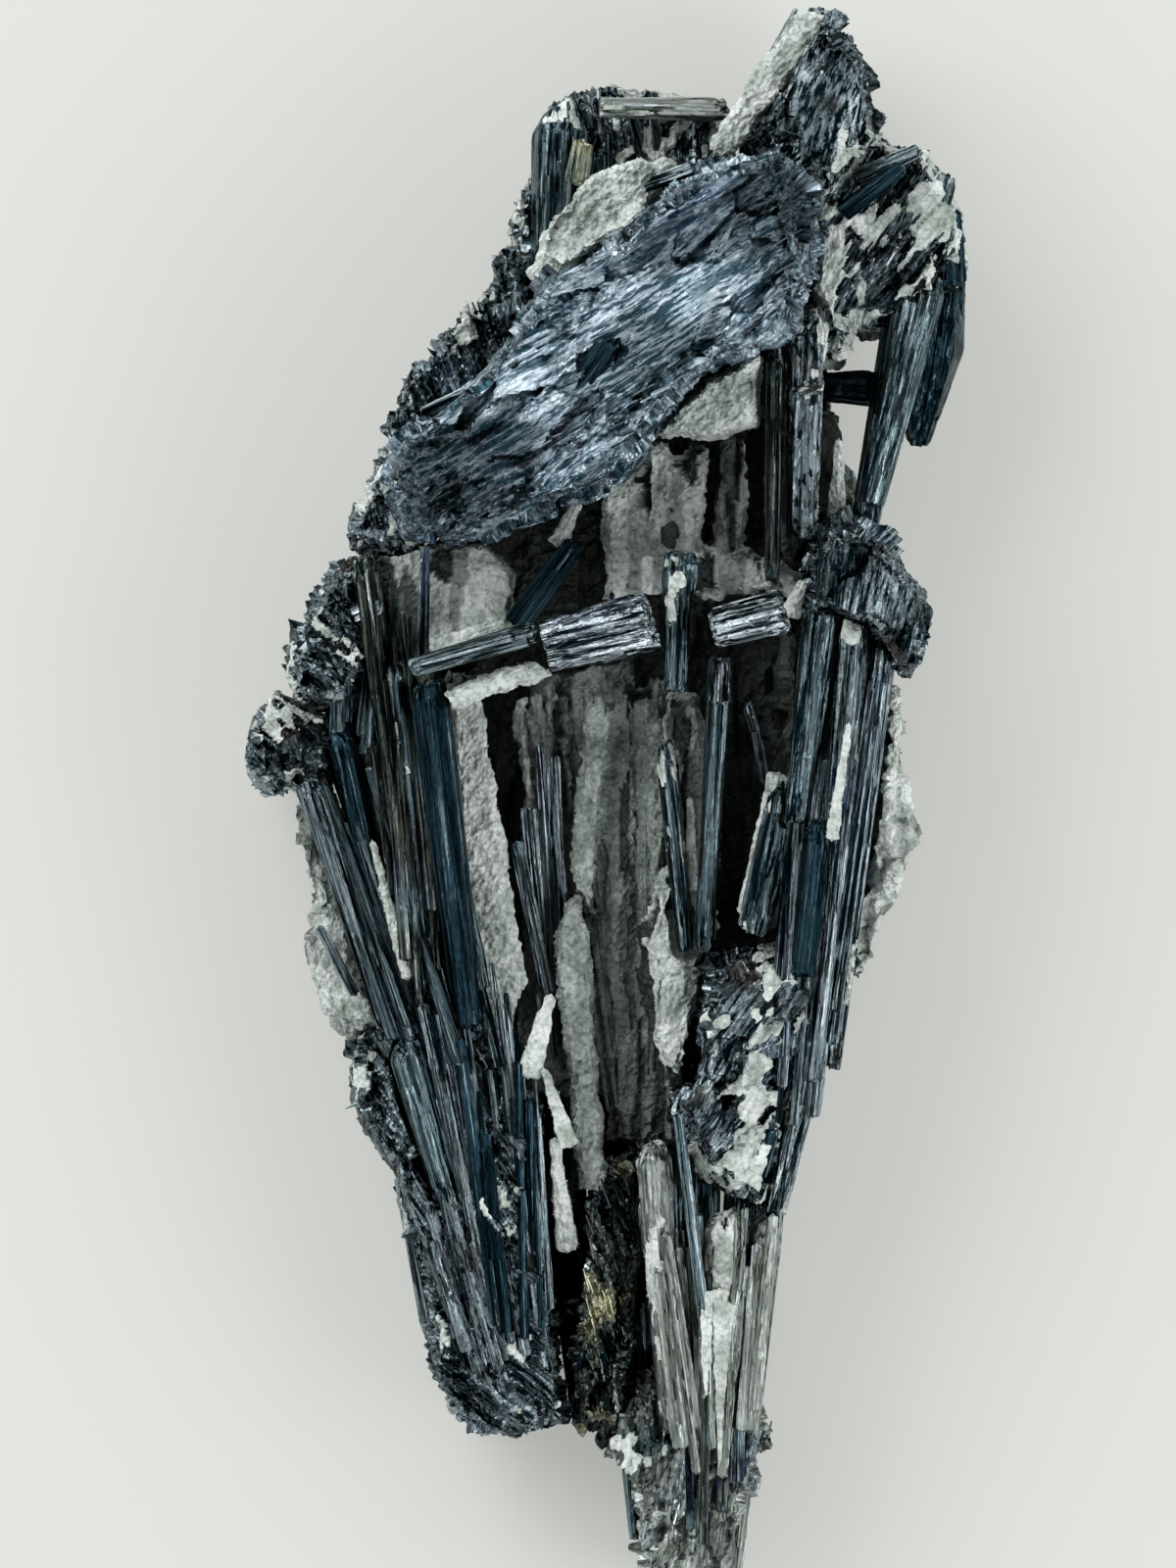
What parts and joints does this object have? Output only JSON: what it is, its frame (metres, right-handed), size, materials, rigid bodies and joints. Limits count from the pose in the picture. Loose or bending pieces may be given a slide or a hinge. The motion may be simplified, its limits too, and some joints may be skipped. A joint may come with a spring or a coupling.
{
  "type": "stibnite crystal spray",
  "caption": "Loose mineral specimen lying on its back: striated stibnite blades fan out from a narrow foot, with a slab of fine crystals across the top and white drusy quartz in the hollows.",
  "frame": {"origin": "middle of the specimen's box in X and Y, on the surface that its back blades rest on", "axes": "+Y from the foot to the summit, along the blades; +Z from the resting side to the front; +X across the spray to the right as the front is looked at with the summit up"},
  "size_m": [0.0924, 0.2058, 0.0544],
  "materials": {
    "stibnite_blade": "natural crystal faces of antimony sulphide, metallic, striated lengthwise",
    "stibnite_deep_blue": "mirror-bright cleavage faces of antimony sulphide, blue-black",
    "stibnite_granular": "felt of fine antimony sulphide needles, metallic, broken and glinting",
    "stibnite_tarnished": "antimony sulphide with an olive-brown to golden tarnish, metallic, striated",
    "quartz_druse": "sugary crust of fine quartz crystals, white to warm grey, matt with small glints"
  },
  "bodies": {
    "root": {"cross_bright_prism": "stibnite_blade", "cross_dark_post": "stibnite_blade", "cross_prism": "stibnite_blade", "cross_blade": "stibnite_blade", "cross_coated_plate": "quartz_druse", "leaning_slab": "stibnite_granular", "limb_inner_blade": "stibnite_blade", "limb_middle_blade": "stibnite_blade", "limb_outer_blade": "stibnite_blade", "polished_blade": "stibnite_deep_blue", "leaning_blade": "stibnite_tarnished", "limb_head": "stibnite_granular", "limb_coated_flank": "quartz_druse", "deep_blue_blade": "stibnite_deep_blue", "fan_grained_blade": "stibnite_granular", "fan_olive_blade": "stibnite_tarnished", "fan_dark_blade": "stibnite_deep_blue", "fan_edge_blade": "stibnite_blade", "fan_coated_flank": "quartz_druse", "shoulder_upper_mass": "stibnite_granular", "shoulder_lower_mass": "stibnite_granular", "window_druse": "quartz_druse", "olive_edge_blade": "stibnite_tarnished", "upright_blade": "stibnite_blade", "hanging_shelf": "quartz_druse", "hanging_rods": "quartz_druse", "right_upper_blade": "stibnite_blade", "right_outer_blade": "stibnite_deep_blue", "window_crystal": "stibnite_deep_blue", "head_mass": "stibnite_granular", "spire_coated_blade": "quartz_druse", "spire_mass": "stibnite_granular", "tower_bar": "stibnite_tarnished", "tower_blade": "stibnite_blade", "tower_druse": "quartz_druse", "tower_mass": "stibnite_granular", "flank_upper_mass": "stibnite_granular", "coated_blade": "quartz_druse", "hollow_great_rod": "quartz_druse", "hollow_rods": "quartz_druse", "inner_bright_blade": "stibnite_blade", "inner_dark_blade": "stibnite_deep_blue", "inner_druse": "quartz_druse", "lower_left_blade": "stibnite_deep_blue", "lower_left_mass": "stibnite_granular", "lower_left_lobe": "stibnite_granular", "foot_fibrous_blade": "stibnite_tarnished", "foot_pale_blade": "stibnite_tarnished", "foot_edge_blade": "stibnite_blade", "lower_edge_blade": "stibnite_blade", "lower_right_mass": "stibnite_granular", "foot_gilded_mass": "stibnite_tarnished", "foot_mass": "stibnite_granular", "quartz_lining": "quartz_druse", "back_blade_1": "stibnite_blade", "back_blade_2": "stibnite_blade", "back_blade_3": "stibnite_blade", "back_blade_4": "stibnite_blade", "back_blade_5": "stibnite_blade"}
  },
  "joints": []
}
